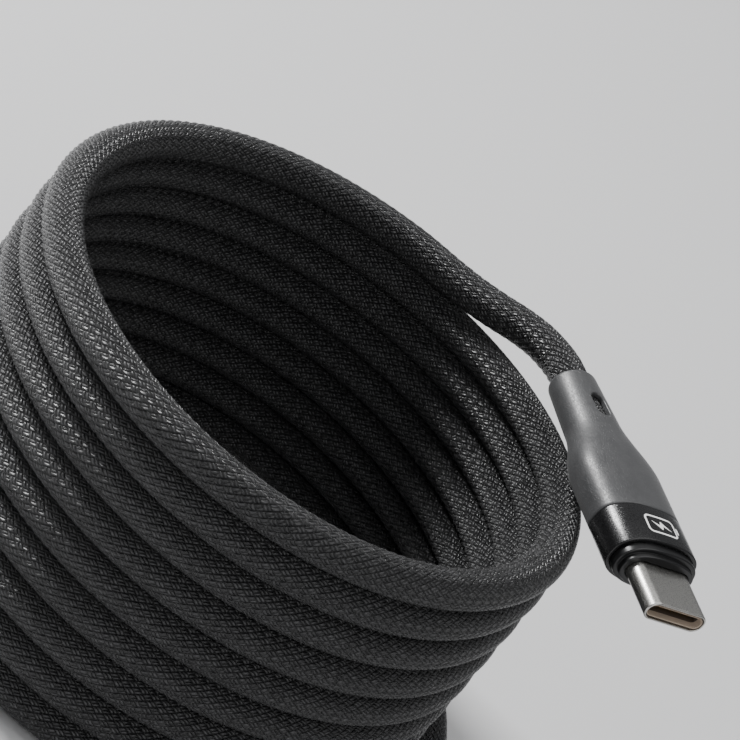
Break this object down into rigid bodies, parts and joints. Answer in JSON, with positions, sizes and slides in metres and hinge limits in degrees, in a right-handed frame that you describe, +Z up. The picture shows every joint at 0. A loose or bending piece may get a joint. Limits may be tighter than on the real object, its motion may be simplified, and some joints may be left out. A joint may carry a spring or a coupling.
{
  "type": "charging cable",
  "caption": "Braided charging cable with reversible 24-contact plugs, wound into an upright coil, with a soft strain relief and metal band on each plug.",
  "frame": {"origin": "under the middle of the whole cable as it stands, on the surface that the coil stands on", "axes": "+Z up along the coil's axis; plug A points towards +X and -Y above the coil, plug B lies behind the coil and points towards -X"},
  "size_m": [0.088, 0.0822, 0.0464],
  "materials": {
    "black_braid": "fine nylon yarn braided over the cord, black with shiny fibres",
    "blasted_steel": "bead-blasted stainless steel with bright rolled edges",
    "black_collar": "black moulded plastic with a soft gloss",
    "anodised_band": "fine-blasted aluminium, anodised black, with a printed white symbol",
    "soft_boot": "slate grey soft-touch moulding with a fine grain",
    "contact_plastic": "dark brown glass-filled plastic",
    "gold_contacts": "gold-plated copper alloy",
    "spring_steel": "thin nickel-plated spring steel",
    "board_green": "green solder mask over glass epoxy",
    "chip_black": "black moulded chip package",
    "capacitor_tan": "tan ceramic body",
    "can_steel": "tinned steel sheet",
    "mould_grey": "hard grey inner moulding",
    "wire_red": "red wire insulation",
    "wire_green": "green wire insulation",
    "wire_blue": "blue wire insulation",
    "wire_black": "black wire insulation",
    "wire_white": "white wire insulation"
  },
  "bodies": {
    "cable": {"cord_coil": "black_braid", "cord_lead": "black_braid", "cord_tail": "black_braid", "plug_shell_a": "blasted_steel", "front_collar_a": "black_collar", "metal_band_a": "anodised_band", "strain_relief_a": "soft_boot", "contact_housing_a": "contact_plastic", "upper_contacts_a": "gold_contacts", "lower_contacts_a": "gold_contacts", "upper_ground_spring_a": "spring_steel", "lower_ground_spring_a": "spring_steel", "circuit_board_a": "board_green", "marker_chip_a": "chip_black", "bus_capacitor_a": "capacitor_tan", "cc_resistor_a": "chip_black", "upper_shield_can_a": "can_steel", "lower_shield_can_a": "can_steel", "inner_mould_a": "mould_grey", "crimp_ring_a": "can_steel", "cord_end_a": "black_braid", "wire_vbus_a": "wire_red", "wire_data_plus_a": "wire_green", "wire_cc_a": "wire_blue", "wire_ground_a": "wire_black", "wire_data_minus_a": "wire_white", "plug_shell_b": "blasted_steel", "front_collar_b": "black_collar", "metal_band_b": "anodised_band", "strain_relief_b": "soft_boot", "contact_housing_b": "contact_plastic", "upper_contacts_b": "gold_contacts", "lower_contacts_b": "gold_contacts", "upper_ground_spring_b": "spring_steel", "lower_ground_spring_b": "spring_steel", "circuit_board_b": "board_green", "marker_chip_b": "chip_black", "bus_capacitor_b": "capacitor_tan", "cc_resistor_b": "chip_black", "upper_shield_can_b": "can_steel", "lower_shield_can_b": "can_steel", "inner_mould_b": "mould_grey", "crimp_ring_b": "can_steel", "cord_end_b": "black_braid", "wire_vbus_b": "wire_red", "wire_data_plus_b": "wire_green", "wire_cc_b": "wire_blue", "wire_ground_b": "wire_black", "wire_data_minus_b": "wire_white"},
    "left_latch_a_arm": {"left_latch_a": "spring_steel"},
    "right_latch_a_arm": {"right_latch_a": "spring_steel"},
    "left_latch_b_arm": {"left_latch_b": "spring_steel"},
    "right_latch_b_arm": {"right_latch_b": "spring_steel"}
  },
  "joints": [
    {"name": "left_latch_a_flex", "type": "hinge", "parent": "cable", "child": "left_latch_a_arm", "pos_m": [0.03809, -0.00081, 0.0431], "axis": [0, 0, 1], "range_deg": [0, 2], "stiffness_Nm_per_rad": 0.05},
    {"name": "right_latch_a_flex", "type": "hinge", "parent": "cable", "child": "right_latch_a_arm", "pos_m": [0.03318, -0.00465, 0.0431], "axis": [0, 0, -1], "range_deg": [0, 2], "stiffness_Nm_per_rad": 0.05},
    {"name": "left_latch_b_flex", "type": "hinge", "parent": "cable", "child": "left_latch_b_arm", "pos_m": [-0.03577, 0.03204, 0.0034], "axis": [0, 0, 1], "range_deg": [0, 2], "stiffness_Nm_per_rad": 0.05},
    {"name": "right_latch_b_flex", "type": "hinge", "parent": "cable", "child": "right_latch_b_arm", "pos_m": [-0.03577, 0.03827, 0.0034], "axis": [0, 0, -1], "range_deg": [0, 2], "stiffness_Nm_per_rad": 0.05}
  ]
}
